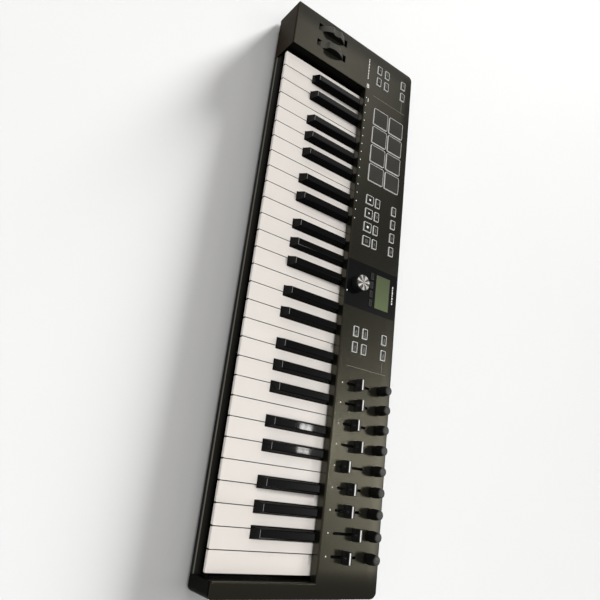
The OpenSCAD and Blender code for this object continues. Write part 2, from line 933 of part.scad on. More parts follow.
// A ring-shaped turn sensor beside each wheel
module wheel_sensors() {
  for (x = [bracket_x[1] + 2.5, bracket_x[3] + 2.5])
    difference() {
      rod_x(x, x + 3, wheel_y, wheel_z, 8);
      rod_x(x - 1, x + 4, wheel_y, wheel_z, axle_r + 0.4);
    }
}

// Torsion spring beside the pitch wheel: closed turns and two legs
module wheel_spring() {
  wire = 0.55;
  turn = 1.7 * wire;
  r = 4.2;
  x0 = wheel_x[0] + wheel_w / 2 + 0.9;
  color([0.8, 0.8, 0.82])
  translate([x0, wheel_y, wheel_z])
    rotate([0, 90, 0]) {
      rotate_extrude()
        for (i = [0:2])
          translate([r, i * turn])
            circle(wire, $fn = 24);
      for (i = [0, 2])
        rotate([0, 0, i * 20 - 20])
          translate([r, 0, i * turn])
            rotate([-90, 0, 0])
              cylinder(h = 13, r = 0.4, $fn = 24);
    }
}

// ---------- Keybed ----------

// The hinge end that every key shares: lug, bore and spring tail
module key_lug(x) {
  h = lug_w / 2;
  box([x - h, lever_y1 - 5, lever_z], [x + h, pivot_y, key_top_z - plate_t + eps]);
  rod_x(x - h, x + h, pivot_y, pivot_z, 5);
  box([x - h, pivot_y, lever_z], [x + h, pivot_y + 9, lever_z + 2.6]);
}

module key_bore(x) {
  rod_x(x - lug_w, x + lug_w, pivot_y, pivot_z, pivot_r + run_gap);
}

// The two ribs under a key, their end walls and the block that works the contact
module key_ribs(x0, x1, y0, z1) {
  box([x0, y0, lever_z], [x0 + rib_t, lever_y1, z1]);
  box([x1 - rib_t, y0, lever_z], [x1, lever_y1, z1]);
  box([x0, y0, lever_z + 3], [x1, y0 + rib_t, z1]);
  box([x0, lever_y1 - rib_t, lever_z], [x1, lever_y1, z1]);
  box([x0, -36, lever_z], [x1, -30, lever_z + 2.5]);
}

// Side view of a white key's top plate, with its round front lip
module white_profile() {
  r = 1;
  y0 = key_front_y;
  z = key_top_z;
  polygon(concat(
    [for (a = [180:-15:90]) [y0 + r + r * cos(a), z - r + r * sin(a)]],
    [[lever_y1 + 4, z], [lever_y1 + 4, z - plate_t], [y0 + lip_t + 1, z - plate_t],
      [y0 + lip_t, z - plate_t - 0.6], [y0 + lip_t, z - lip_drop], [y0 + 0.5, z - lip_drop],
      [y0, z - lip_drop + 0.5]]
  ));
}

// Plan of a white key's wide part, with round front corners
module key_front(x0, x1, y1, r) {
  y0 = key_front_y;
  translate([x0, y0 + r])
    square([x1 - x0, y1 - y0 - r]);
  translate([x0 + r, y0])
    square([x1 - x0 - 2 * r, r + eps]);
  for (x = [x0 + r, x1 - r])
    translate([x, y0 + r])
      circle(r);
}

module white_key(w) {
  x0 = boundary_x(w) + key_gap / 2;
  x1 = boundary_x(w + 1) - key_gap / 2;
  t0 = tail_x0(w);
  t1 = tail_x1(w);
  notch_y = sharp_y0 - 0.6;
  z1 = key_top_z - plate_t + eps;
  lug_x = white_lug_x(w);
  difference() {
    union() {
      intersection() {
        along_x(x0, x1)
          white_profile();
        union() {
          linear_extrude(panel_z)
            key_front(x0, x1, notch_y, 1.2);
          box([t0, notch_y - 1, 0], [t1, lever_y1 + 5, panel_z]);
        }
      }
      for (x = [x0, x1 - rib_t])
        box([x, key_front_y + 8, z1 - 5], [x + rib_t, notch_y, z1]);
      key_ribs(t0, t1, key_front_y + 13, z1);
      key_lug(lug_x);
    }
    key_bore(lug_x);
  }
}

// Cross-section of a black key: tapered, with round shoulders
module sharp_section(x) {
  b = sharp_w / 2;
  t = sharp_top_w / 2;
  r = 1.4;
  z0 = key_top_z - 2.6;
  z1 = key_top_z + sharp_h;
  polygon(concat(
    [[x - b, z0], [x + b, z0], [x + b, z0 + 2]],
    [for (a = [15:25:90]) [x + t - r * 0.55 + r * cos(a), z1 - r + r * sin(a)]],
    [for (a = [90:25:165]) [x - t + r * 0.55 + r * cos(a), z1 - r + r * sin(a)]],
    [[x - b, z0 + 2]]
  ));
}

// Side view of a black key: sloping nose, flat top, short drop at the rear
module sharp_side() {
  y0 = sharp_y0;
  y1 = sharp_y0 + sharp_len;
  z0 = key_top_z - 2.6;
  z1 = key_top_z + sharp_h;
  r = 1.6;
  polygon(concat(
    [[y0, z0], [y0, z0 + 2.6]],
    [for (a = [155:-20:95]) [y0 + 6.2 + r * cos(a), z1 - r + r * sin(a)]],
    [[y1 - 2, z1], [y1 - 0.4, z1 - 1], [y1, z1 - 3], [y1, z0]]
  ));
}

module sharp_key(i) {
  x = sharp_x(i);
  z0 = key_top_z - 2.6;
  lug_x = sharp_lug_x(i);
  h = sharp_w / 2 - 1.8;
  difference() {
    union() {
      intersection() {
        along_y(sharp_y0 - 1, sharp_y0 + sharp_len + 1)
          sharp_section(x);
        along_x(x - sharp_w, x + sharp_w)
          sharp_side();
      }
      box([x - h, sharp_y0 + sharp_len - 4, z0], [x + h, lever_y1 + 4, z0 + 2]);
      key_ribs(x - h, x + h, sharp_y0 + 4, z0 + eps);
      key_lug(lug_x);
    }
    box([x - h + rib_t, sharp_y0 + 9, z0 - 1], [x + h - rib_t, sharp_y0 + sharp_len - 6, z0 + 9]);
    key_bore(lug_x);
  }
}

module white_group(oct, steps) {
  color(white)
  for (s = steps)
    white_key(7 * oct + s);
}

module sharp_group(oct) {
  color(black)
  for (s = [1, 2, 4, 5, 6])
    sharp_key(7 * oct + s);
}

// Steel base of the keyboard action, with a raised rail for the felt
module key_frame() {
  x0 = well_x0 + 1.5;
  x1 = well_x1 - 1.5;
  color([0.45, 0.46, 0.47]) {
    box([x0, key_front_y + 14, frame_z], [x1, guide_y + 2, frame_top]);
    box([x0, -98, frame_top - eps], [x1, -86, frame_top + 0.8]);
  }
}

// Rear wall of the action and the fins between the keys' hinge ends
module key_guides() {
  x0 = well_x0 + 1.5;
  x1 = well_x1 - 1.5;
  z1 = pivot_z + 4;
  color([0.45, 0.46, 0.47])
  difference() {
    union() {
      box([x0, guide_y, frame_top], [x1, guide_y + 2, z1]);
      for (n = [0:49])
        let (x = keys_x0 + n * semitone)
          box([x - 0.8, pivot_y - 7, frame_top], [x + 0.8, guide_y + 1, z1]);
    }
    rod_x(x0 - 1, x1 + 1, pivot_y, pivot_z, pivot_r);
  }
}

module key_pivot_rod() {
  color([0.78, 0.78, 0.8])
    rod_x(well_x0 + 1, well_x1 - 1, pivot_y, pivot_z, pivot_r);
}

// One place for each of the 49 keys: the middle of its tail or of its top
module key_places() {
  for (w = [0:28])
    translate([(tail_x0(w) + tail_x1(w)) / 2, 0, 0])
      children();
  for (i = [1:28])
    if (has_sharp(i))
      translate([sharp_x(i), 0, 0])
        children();
}

module key_contact_strip() {
  z0 = frame_top + board_t;
  color([0.2, 0.2, 0.2]) {
    box([well_x0 + 4, -41, z0], [well_x1 - 4, -25, z0 + 1.5]);
    key_places()
      rod_z(0, -33, z0 + 1.4, z0 + 4, 3.2);
  }
}

module key_felt() {
  color([0.55, 0.08, 0.1])
    box([well_x0 + 2, -97.5, frame_top + 0.8], [well_x1 - 2, -86.5, frame_top + 2.2]);
}

// One spring under the tail of each key, and the pitch wheel's own spring
module return_springs() {
  y = pivot_y + 6.5;
  wheel_spring();
  color([0.75, 0.75, 0.77])
  for (n = [0:48])
    translate([step_x(0, n), y, frame_top])
      difference() {
        cylinder(h = lever_z - frame_top - 0.15, r = 2.2);
        translate([0, 0, -1])
          cylinder(h = lever_z, r = 1.5);
      }
}

control_panel();
case_walls();
wheel_block();
end_cheek();
key_slip();
case_posts();
bottom_plate();
display_window();
lcd_module();
circuit_boards();
key_frame();
key_guides();
key_pivot_rod();
key_contact_strip();
key_felt();
return_springs();
rubber_feet();
case_screws();
data_sockets();
pedal_jacks();
control_bodies();
wheel_bracket();
pitch_wheel();
mod_wheel();
encoder_knob();
encoder_cap();
knob(0);  // knob_1
knob(1);  // knob_2
knob(2);  // knob_3
knob(3);  // knob_4
knob(4);  // knob_5
knob(5);  // knob_6
knob(6);  // knob_7
knob(7);  // knob_8
knob(8);  // knob_9
fader(0);  // fader_1
fader(1);  // fader_2
fader(2);  // fader_3
fader(3);  // fader_4
fader(4);  // fader_5
fader(5);  // fader_6
fader(6);  // fader_7
fader(7);  // fader_8
fader(8);  // fader_9
pads();
bank_buttons();
transport_buttons();
context_buttons();
white_group(0, [0, 2, 4, 6]);  // oct1_keys_cegb
white_group(0, [1, 3, 5]);  // oct1_keys_dfa
sharp_group(0);  // oct1_sharps
white_group(1, [0, 2, 4, 6]);  // oct2_keys_cegb
white_group(1, [1, 3, 5]);  // oct2_keys_dfa
sharp_group(1);  // oct2_sharps
white_group(2, [0, 2, 4, 6]);  // oct3_keys_cegb
white_group(2, [1, 3, 5]);  // oct3_keys_dfa
sharp_group(2);  // oct3_sharps
white_group(3, [0, 2, 4, 6, 7]);  // oct4_keys_cegbc
white_group(3, [1, 3, 5]);  // oct4_keys_dfa
sharp_group(3);  // oct4_sharps
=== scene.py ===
import bpy
import json
import math
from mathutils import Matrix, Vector


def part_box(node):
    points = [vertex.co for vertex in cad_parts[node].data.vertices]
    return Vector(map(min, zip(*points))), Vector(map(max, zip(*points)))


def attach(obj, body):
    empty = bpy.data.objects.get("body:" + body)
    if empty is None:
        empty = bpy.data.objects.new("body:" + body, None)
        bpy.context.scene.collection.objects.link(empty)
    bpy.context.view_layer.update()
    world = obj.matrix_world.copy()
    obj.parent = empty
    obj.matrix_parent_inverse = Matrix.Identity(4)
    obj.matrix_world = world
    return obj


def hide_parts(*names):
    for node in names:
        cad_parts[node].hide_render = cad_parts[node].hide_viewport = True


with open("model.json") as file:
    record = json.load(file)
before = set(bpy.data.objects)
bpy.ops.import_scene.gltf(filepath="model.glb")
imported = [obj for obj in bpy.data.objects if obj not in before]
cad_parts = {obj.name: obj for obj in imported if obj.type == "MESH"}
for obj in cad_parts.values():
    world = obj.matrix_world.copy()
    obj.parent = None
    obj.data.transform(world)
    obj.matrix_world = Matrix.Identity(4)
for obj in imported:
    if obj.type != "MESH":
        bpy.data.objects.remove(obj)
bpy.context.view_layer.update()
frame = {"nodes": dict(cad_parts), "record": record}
nodes = frame["nodes"]
MM = 0.001

# Places on the body, in millimetres, as the CAD model has them
PANEL_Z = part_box("control_panel")[1].z / MM
REAR_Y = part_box("case_walls")[1].y / MM
RISE = 1.6
BUTTON = (14.4, 8.6)
SQUARE = 14.0
SQUARE_Y = 48.6
ROWS = (45.3, 61.4, 97.1)
LEFT_X = (-363.75, -342.0)
RIGHT_X = (67.0, 88.75)
TRANSPORT_X = [-133.75 + 21.95 * i for i in range(4)]
TRANSPORT_Y = (64.0, ROWS[2])
CONTEXT_X = [13.2 * i for i in (-1.5, -0.5, 0.5, 1.5)]
CONTEXT_Y = 66.4
PAD_X = [-277.0 + 32.65 * i for i in range(4)]
PAD_Y = (55.75, 88.2)
PAD_W = 28.8
FADER_X = [138.75 + 26.0 * k for k in range(9)]
FADER_Y = 58.15
FADER_REST = (-3, 0, -4, 5, -13, -1, -2, 14, 0)
FADER_TOP = PANEL_Z + 13.8
KNOB_Y = 97.25
ENCODER_Y = 41.75
DISPLAY_Y = 88.3
SOCKET_Z = 25.0
JACK_X = (-262.0, -236.0)
MIDI_X = -300.0
USB_X = -340.0

# Top of the buttons and pads, and the thickness of the black print on a button
CAP_Z = PANEL_Z + RISE
CAP_T = 0.14

# Height of the white print over a surface, and how deep it starts in the surface
INK = 0.035
SUNK = 0.01

# Height of the slip's ledge, where a highlight is painted, and the height where the painted shade
# on the slip's face is darkest, in metres
LEDGE_Z = 0.0104
SLIP_DARK_Z = 0.0234

# How far forward a black key's surface leans where the highlight painted along its ridge ends
RIDGE_END = 0.30

# Scale of the fine grain on mouldings
GRAIN = 2600.0


# ---------------------------------------------------------------- materials

def tree(name):
    m = bpy.data.materials.new(name)
    m.use_nodes = True
    nt = m.node_tree
    nt.nodes.clear()
    out = nt.nodes.new("ShaderNodeOutputMaterial")
    p = nt.nodes.new("ShaderNodeBsdfPrincipled")
    nt.links.new(p.outputs[0], out.inputs[0])
    return m, nt, p


def node(nt, kind, **values):
    n = nt.nodes.new(kind)
    for k, v in values.items():
        setattr(n, k, v)
    return n


def coords(nt):
    return node(nt, "ShaderNodeTexCoord").outputs["Object"]


def noise_of(nt, vector, scale, detail=3.0, roughness=0.55):
    n = node(nt, "ShaderNodeTexNoise")
    n.inputs["Scale"].default_value = scale
    n.inputs["Detail"].default_value = detail
    n.inputs["Roughness"].default_value = roughness
    nt.links.new(vector, n.inputs["Vector"])
    return n.outputs["Fac"]


def ramp(nt, fac, low, high, a, b):
    r = node(nt, "ShaderNodeMapRange")
    r.inputs["From Min"].default_value = low
    r.inputs["From Max"].default_value = high
    r.inputs["To Min"].default_value = a
    r.inputs["To Max"].default_value = b
    nt.links.new(fac, r.inputs["Value"])
    return r.outputs["Result"]


def mix(nt, fac, a, b):
    m = node(nt, "ShaderNodeMix", data_type="RGBA")
    for i, v in ((0, fac), (6, a), (7, b)):
        if isinstance(v, (int, float)):
            m.inputs[i].default_value = v
        elif isinstance(v, tuple):
            m.inputs[i].default_value = (*v, 1)
        else:
            nt.links.new(v, m.inputs[i])
    return m.outputs[2]


def math_node(nt, op, a, b=0.0, c=0.0):
    m = node(nt, "ShaderNodeMath", operation=op)
    for i, v in enumerate((a, b, c)):
        if isinstance(v, (int, float)):
            m.inputs[i].default_value = v
        else:
            nt.links.new(v, m.inputs[i])
    return m.outputs[0]


def bump(nt, p, height, distance, strength=1.0, normal=None):
    b = node(nt, "ShaderNodeBump")
    b.inputs["Distance"].default_value = distance
    b.inputs["Strength"].default_value = strength
    nt.links.new(height, b.inputs["Height"])
    if normal is not None:
        nt.links.new(normal, b.inputs["Normal"])
    nt.links.new(b.outputs[0], p.inputs["Normal"])
    return b.outputs[0]


def edge_wear(nt):
    g = node(nt, "ShaderNodeNewGeometry")
    return ramp(nt, g.outputs["Pointiness"], 0.52, 0.62, 0.0, 1.0)


def spread_out(nt, fac):
    """Stretches the middle of a noise to the whole range 0 to 1."""
    return ramp(nt, fac, 0.3, 0.7, 0.0, 1.0)


def split(nt, vector):
    """The x, y and z of a vector."""
    n = node(nt, "ShaderNodeSeparateXYZ")
    nt.links.new(vector, n.inputs[0])
    return n.outputs


def normal_of(nt):
    return split(nt, node(nt, "ShaderNodeNewGeometry").outputs["Normal"])


def plastic(name, base, rough, spread=0.05, grain=GRAIN, depth=0.00002, tint=0.12, worn=None,
            spec=0.5, mottle=9.0):
    """Moulded plastic: fine grain, slow colour and gloss variation, handled edges."""
    m, nt, p = tree(name)
    v = coords(nt)
    slow = noise_of(nt, v, mottle, 4.0, 0.6)
    fine = noise_of(nt, v, grain, 2.0, 0.5)
    smear = noise_of(nt, v, 38.0, 5.0, 0.65)
    dark = tuple(c * (1 - tint) for c in base)
    light = tuple(min(1.0, c * (1 + tint)) for c in base)
    colour = mix(nt, spread_out(nt, slow), dark, light)
    if worn is not None:
        wear_and_highlight = math_node(nt, "MULTIPLY", edge_wear(nt), ramp(nt, smear, 0.35, 0.7, 0.1, 0.5))
        colour = mix(nt, wear_and_highlight, colour, worn)
    nt.links.new(colour, p.inputs["Base Color"])
    both = math_node(nt, "ADD", ramp(nt, smear, 0.3, 0.75, -spread, spread),
                     ramp(nt, fine, 0.3, 0.7, -spread * 0.4, spread * 0.4))
    nt.links.new(math_node(nt, "ADD", both, rough), p.inputs["Roughness"])
    p.inputs["Specular IOR Level"].default_value = spec
    bump(nt, p, fine, depth, 0.6)
    return m


def metal(name, base, rough, brushed=(1.0, 1.0, 1.0)):
    """Plated or turned metal, with brush lines stretched by the three factors."""
    m, nt, p = tree(name)
    v = coords(nt)
    mp = node(nt, "ShaderNodeMapping")
    mp.inputs["Scale"].default_value = brushed
    nt.links.new(v, mp.inputs["Vector"])
    lines = noise_of(nt, mp.outputs[0], 900.0, 3.0, 0.6)
    slow = noise_of(nt, v, 30.0, 3.0)
    colour = mix(nt, spread_out(nt, slow), tuple(c * 0.85 for c in base), base)
    nt.links.new(colour, p.inputs["Base Color"])
    p.inputs["Metallic"].default_value = 1.0
    nt.links.new(ramp(nt, lines, 0.3, 0.7, rough * 0.75, rough * 1.3), p.inputs["Roughness"])
    bump(nt, p, lines, 0.00001, 0.5)
    return m


def board_green():
    """Circuit board: green lacquer with a net of lighter tracks."""
    m, nt, p = tree("board_green")
    v = coords(nt)
    vor = node(nt, "ShaderNodeTexVoronoi")
    vor.inputs["Scale"].default_value = 160.0
    nt.links.new(v, vor.inputs["Vector"])
    tracks = ramp(nt, vor.outputs["Distance"], 0.02, 0.06, 1.0, 0.0)
    colour = mix(nt, tracks, (0.008, 0.07, 0.03), (0.03, 0.16, 0.06))
    nt.links.new(colour, p.inputs["Base Color"])
    nt.links.new(ramp(nt, noise_of(nt, v, 60.0), 0.3, 0.7, 0.3, 0.45), p.inputs["Roughness"])
    bump(nt, p, tracks, 0.00004, 0.6)
    return m


def felt():
    """Dark felt with a loose, dull nap."""
    m, nt, p = tree("dark_felt")
    v = coords(nt)
    fuzz = noise_of(nt, v, 1800.0, 6.0, 0.75)
    colour = mix(nt, fuzz, (0.010, 0.009, 0.010), (0.035, 0.030, 0.032))
    nt.links.new(colour, p.inputs["Base Color"])
    p.inputs["Roughness"].default_value = 0.95
    p.inputs["Sheen Weight"].default_value = 0.5
    bump(nt, p, fuzz, 0.0002, 0.9)
    return m


def sunburst():
    """Spun silver with a painted reflection: rays that run out from the middle, light and dark in
    turn.
    """
    m, nt, p = tree("sunburst_silver")
    place = split(nt, coords(nt))
    y = math_node(nt, "SUBTRACT", place[1], ENCODER_Y * MM)
    angle = math_node(nt, "ARCTAN2", y, place[0])
    wobble = noise_of(nt, coords(nt), 260.0, 2.0)
    bent = math_node(nt, "ADD", math_node(nt, "MULTIPLY", angle, 7.0),
                     math_node(nt, "MULTIPLY", wobble, 3.0))
    rays = math_node(nt, "SINE", bent)
    fine = math_node(nt, "SINE", math_node(nt, "MULTIPLY", angle, 97.0))
    # Painted reflection: the spun metal's light and dark rays are put into the base colour
    light = ramp(nt, rays, -0.35, 0.45, 0.0, 1.0)
    colour = mix(nt, light, (0.16, 0.145, 0.12), (0.95, 0.94, 0.92))
    nt.links.new(colour, p.inputs["Base Color"])
    p.inputs["Metallic"].default_value = 0.75
    nt.links.new(ramp(nt, fine, -1.0, 1.0, 0.22, 0.36), p.inputs["Roughness"])
    bump(nt, p, fine, 0.00002, 0.3)
    return m


def wheel_shaded_sides():
    """Glossy sides painted near-black as shade, and a soft grey on the rim and in the finger
    notch.
    """
    m, nt, p = tree("wheel_shaded_sides")
    v = coords(nt)
    side = ramp(nt, math_node(nt, "ABSOLUTE", normal_of(nt)[0]), 0.75, 0.9, 0.0, 1.0)
    slow = noise_of(nt, v, 90.0, 4.0, 0.6)
    fine = noise_of(nt, v, GRAIN, 2.0, 0.5)
    grey_tread = mix(nt, spread_out(nt, slow), (0.050, 0.047, 0.036), (0.062, 0.058, 0.046))
    # Painted shade: faces that point sideways get a near-black colour instead of the grey
    nt.links.new(mix(nt, side, grey_tread, (0.006, 0.006, 0.006)), p.inputs["Base Color"])
    nt.links.new(math_node(nt, "ADD", ramp(nt, side, 0.0, 1.0, 0.45, 0.22),
                           ramp(nt, slow, 0.3, 0.7, -0.04, 0.04)), p.inputs["Roughness"])
    bump(nt, p, fine, 0.00002, 0.6)
    return m


def lcd_face():
    """Reflective display glass: grey-green, a little lighter to the right, with faint cells."""
    m, nt, p = tree("lcd_face")
    v = coords(nt)
    x = split(nt, v)[0]
    along = ramp(nt, x, -0.025, 0.025, 0.0, 1.0)
    slow = noise_of(nt, v, 45.0, 3.0)
    colour = mix(nt, along, (0.088, 0.108, 0.056), (0.118, 0.152, 0.068))
    cells = math_node(nt, "SINE", math_node(nt, "MULTIPLY", x, 9000.0))
    colour = mix(nt, ramp(nt, cells, 0.9, 1.0, 0.0, 0.12), colour, (0.05, 0.06, 0.03))
    nt.links.new(colour, p.inputs["Base Color"])
    nt.links.new(ramp(nt, slow, 0.3, 0.7, 0.16, 0.24), p.inputs["Roughness"])
    bump(nt, p, slow, 0.000004, 0.3)
    return m


def satin_shell():
    """Dark olive moulding: a glossy satin top that mirrors softly, crowned a little toward
    both ends, and dull outer walls whose colour is painted near-black as shade."""
    m, nt, p = tree("satin_shell")
    v = coords(nt)
    place, normal = split(nt, v), normal_of(nt)
    x, y = place[0], place[1]
    up = ramp(nt, normal[2], 0.82, 0.98, 0.0, 1.0)
    # The walls of the key well shine as the top does
    well = math_node(nt, "MULTIPLY", math_node(nt, "GREATER_THAN", x, -0.3150),
                     math_node(nt, "LESS_THAN", x, 0.3776))
    well = math_node(nt, "MULTIPLY", well, math_node(nt, "GREATER_THAN", y, -0.1145))
    well = math_node(nt, "MULTIPLY", well, math_node(nt, "LESS_THAN", y, 0.0235))
    shine = math_node(nt, "MAXIMUM", up, well)
    slow = noise_of(nt, v, 9.0, 4.0, 0.6)
    fine = noise_of(nt, v, GRAIN, 2.0, 0.5)
    smear = noise_of(nt, v, 38.0, 5.0, 0.65)
    top = mix(nt, spread_out(nt, slow), (0.0105, 0.0103, 0.0080), (0.0130, 0.0126, 0.0098))
    # A painted brown reflection on the wheel block's front wall, which the other walls lack
    front = math_node(nt, "LESS_THAN", normal[1], -0.5)
    brown_reflection = math_node(nt, "MULTIPLY", front, math_node(nt, "LESS_THAN", x, -0.31))
    wall = mix(nt, brown_reflection, (0.0022, 0.0022, 0.0020), (0.020, 0.0125, 0.0055))
    # Painted shade: the outer walls take a near-black colour, while the top and the key well keep
    # the olive
    nt.links.new(mix(nt, shine, wall, top), p.inputs["Base Color"])
    nt.links.new(ramp(nt, shine, 0.0, 1.0, 0.03, 0.5), p.inputs["Specular IOR Level"])
    p.inputs["Specular Tint"].default_value = (1.0, 0.94, 0.66, 1)
    both = math_node(nt, "ADD", ramp(nt, smear, 0.3, 0.75, -0.02, 0.03),
                     ramp(nt, fine, 0.3, 0.7, -0.015, 0.015))
    rough = math_node(nt, "ADD", both, ramp(nt, shine, 0.0, 1.0, 0.45, 0.19))
    nt.links.new(rough, p.inputs["Roughness"])
    # The crown: how far past the flat middle, squared, toward the ends and the rear edge
    from_middle = math_node(nt, "SUBTRACT", math_node(nt, "ABSOLUTE", x), 0.360)
    over = math_node(nt, "MAXIMUM", from_middle, 0.0)
    back = math_node(nt, "MAXIMUM", math_node(nt, "SUBTRACT", y, 0.098), 0.0)
    bend = ramp(nt, x, -0.01, 0.01, -1.6, -3.6)
    ends = math_node(nt, "MULTIPLY", math_node(nt, "MULTIPLY", over, over), bend)
    rear = math_node(nt, "MULTIPLY", math_node(nt, "MULTIPLY", back, back), -3.0)
    crown = math_node(nt, "ADD", ends, rear)
    bent = bump(nt, p, crown, 1.0, 1.0)
    bump(nt, p, fine, 0.00001, 0.5, bent)
    return m


def slip_sheen():
    """Front wall under the keys, with its light painted into the colour: near-black below, a
    painted highlight along the ledge, and a painted sheen on the face that darkens toward its top."""
    m, nt, p = tree("slip_sheen")
    v = coords(nt)
    z = split(nt, v)[2]
    slow = noise_of(nt, v, 14.0, 4.0, 0.6)
    height = ramp(nt, z, LEDGE_Z, SLIP_DARK_Z, 0.0, 1.0)
    # Painted light on the face: a sheen just above the ledge that fades to painted shade toward
    # the top, and near-black below the ledge
    face = mix(nt, height, (0.019, 0.018, 0.0135), (0.0012, 0.0012, 0.0010))
    face = mix(nt, math_node(nt, "GREATER_THAN", z, LEDGE_Z), (0.003, 0.003, 0.0026), face)
    # A painted highlight along the ledge, light grey, broken up by slow noise
    from_ledge = math_node(nt, "ABSOLUTE", math_node(nt, "SUBTRACT", z, LEDGE_Z))
    near = ramp(nt, from_ledge, 0.0002, 0.0007, 1.0, 0.0)
    wear_and_highlight = math_node(nt, "MULTIPLY", near, ramp(nt, slow, 0.25, 0.6, 0.75, 1.0))
    nt.links.new(mix(nt, wear_and_highlight, face, (0.17, 0.165, 0.14)), p.inputs["Base Color"])
    nt.links.new(ramp(nt, height, 0.0, 0.8, 0.10, 0.01), p.inputs["Specular IOR Level"])
    nt.links.new(ramp(nt, slow, 0.3, 0.7, 0.32, 0.42), p.inputs["Roughness"])
    bump(nt, p, noise_of(nt, v, GRAIN, 2.0, 0.5), 0.00001, 0.5)
    return m


def key_white():
    """Warm white polished key, with painted shade that darkens the narrow gaps and the undersides.
    """
    m, nt, p = tree("key_ivory_white")
    v = coords(nt)
    slow = noise_of(nt, v, 12.0, 4.0, 0.6)
    fine = noise_of(nt, v, 900.0, 2.0, 0.5)
    smear = noise_of(nt, v, 38.0, 5.0, 0.65)
    colour = mix(nt, spread_out(nt, slow), (0.795, 0.745, 0.70), (0.82, 0.775, 0.73))
    # Painted shade: ambient occlusion and sideways faces turn the colour near-black in the gaps
    # and underneath
    ao = node(nt, "ShaderNodeAmbientOcclusion")
    ao.inputs["Distance"].default_value = 0.006
    ao.samples = 6
    sideways = math_node(nt, "ABSOLUTE", normal_of(nt)[0])
    level = math_node(nt, "MULTIPLY", ramp(nt, sideways, 0.05, 0.25, 1.0, 0.0),
                      ramp(nt, ao.outputs["AO"], 0.2, 0.5, 0.0, 1.0))
    clear = math_node(nt, "MAXIMUM", level, ramp(nt, ao.outputs["AO"], 0.84, 0.98, 0.0, 1.0))
    colour = mix(nt, clear, (0.016, 0.010, 0.014), colour)
    nt.links.new(colour, p.inputs["Base Color"])
    nt.links.new(ramp(nt, smear, 0.3, 0.75, 0.30, 0.38), p.inputs["Roughness"])
    bump(nt, p, fine, 0.000004, 0.5)
    return m


def key_black():
    """Polished black key: a glassy top, dull sides, and a thin highlight painted in light grey
    where the nose meets the top."""
    m, nt, p = tree("key_gloss_black")
    v = coords(nt)
    normal = normal_of(nt)
    side = ramp(nt, math_node(nt, "ABSOLUTE", normal[0]), 0.45, 0.8, 0.0, 1.0)
    forward = math_node(nt, "MULTIPLY", normal[1], -1.0)
    ridge = math_node(nt, "MULTIPLY", ramp(nt, forward, 0.05, 0.10, 0.0, 1.0),
                      ramp(nt, forward, RIDGE_END, RIDGE_END + 0.06, 1.0, 0.0))
    ridge = math_node(nt, "MULTIPLY", ridge, math_node(nt, "GREATER_THAN", normal[2], 0.8))
    slow = noise_of(nt, v, 30.0, 4.0, 0.6)
    smear = noise_of(nt, v, 70.0, 5.0, 0.65)
    base = mix(nt, spread_out(nt, slow), (0.0032, 0.0032, 0.0034), (0.0046, 0.0046, 0.0048))
    # A painted highlight: the base colour turns light grey along the ridge
    nt.links.new(mix(nt, ridge, base, (0.24, 0.24, 0.235)), p.inputs["Base Color"])
    rough = math_node(nt, "ADD", ramp(nt, side, 0.0, 1.0, 0.03, 0.42),
                      ramp(nt, smear, 0.35, 0.75, 0.0, 0.012))
    nt.links.new(rough, p.inputs["Roughness"])
    nt.links.new(ramp(nt, side, 0.0, 1.0, 0.13, 0.01), p.inputs["Specular IOR Level"])
    bump(nt, p, noise_of(nt, v, 1400.0, 2.0, 0.5), 0.0000006, 0.5)
    return m


# Every material, by a short name
M = {
    "shell": satin_shell(),
    "slip": slip_sheen(),
    "tray": plastic("tray_black", (0.02, 0.02, 0.018), 0.5, 0.05, grain=1500.0, depth=0.00005),
    "gloss": plastic("window_gloss", (0.003, 0.003, 0.003), 0.12, 0.03, depth=0.000002,
                     mottle=20.0, spec=0.36),
    "white_key": key_white(),
    "black_key": key_black(),
    "button_white": plastic("button_diffuser", (0.90, 0.90, 0.86), 0.35, 0.05, depth=0.000008,
                            tint=0.03),
    "button_top": plastic("button_black", (0.010, 0.010, 0.009), 0.3, 0.05, depth=0.00001),
    "ink": plastic("white_ink", (0.93, 0.92, 0.88), 0.5, 0.05, depth=0.000004, tint=0.03),
    "ink_dim": plastic("grey_ink", (0.26, 0.25, 0.21), 0.5, 0.05, depth=0.000004, tint=0.1),
    "grey_edge": plastic("button_edge", (0.07, 0.07, 0.065), 0.4, 0.05),
    # Light grey for the painted highlight on the fader caps
    "highlight_rib_shine": plastic("highlight_rib_shine", (0.16, 0.16, 0.15), 0.2, 0.05),
    "knob": plastic("knob_black", (0.006, 0.006, 0.006), 0.38, 0.06, grain=1800.0, depth=0.00003,
                    spec=0.4, worn=(0.04, 0.04, 0.04)),
    "knob_top": plastic("knob_top_grey", (0.042, 0.042, 0.037), 0.42, 0.06, grain=1800.0,
                        depth=0.00003),
    "rubber": plastic("pad_rubber", (0.026, 0.025, 0.021), 0.5, 0.05, grain=2200.0, depth=0.00004),
    "foot": plastic("foot_rubber", (0.012, 0.012, 0.012), 0.8, 0.05, grain=1200.0, depth=0.00006),
    "inner": plastic("inner_grey", (0.09, 0.09, 0.095), 0.5, 0.06),
    "socket": plastic("socket_black", (0.015, 0.015, 0.015), 0.4, 0.05),
    # Near-black for the painted shade round the fader slots
    "slot_shade_rim": plastic("slot_shade_rim_black", (0.002, 0.002, 0.002), 0.5, 0.05, spec=0.03),
    "lcd": lcd_face(),
    "lcd_rim": plastic("lcd_rim", (0.10, 0.11, 0.085), 0.4, 0.05),
    "wheel": wheel_shaded_sides(),
    "steel": metal("zinc_steel", (0.55, 0.56, 0.58), 0.32, (1.0, 0.05, 1.0)),
    "silver": metal("spun_silver", (0.86, 0.85, 0.82), 0.16),
    "sunburst": sunburst(),
    "screw": metal("screw_black", (0.05, 0.05, 0.055), 0.4),
    "felt": felt(),
    "board": board_green(),
}


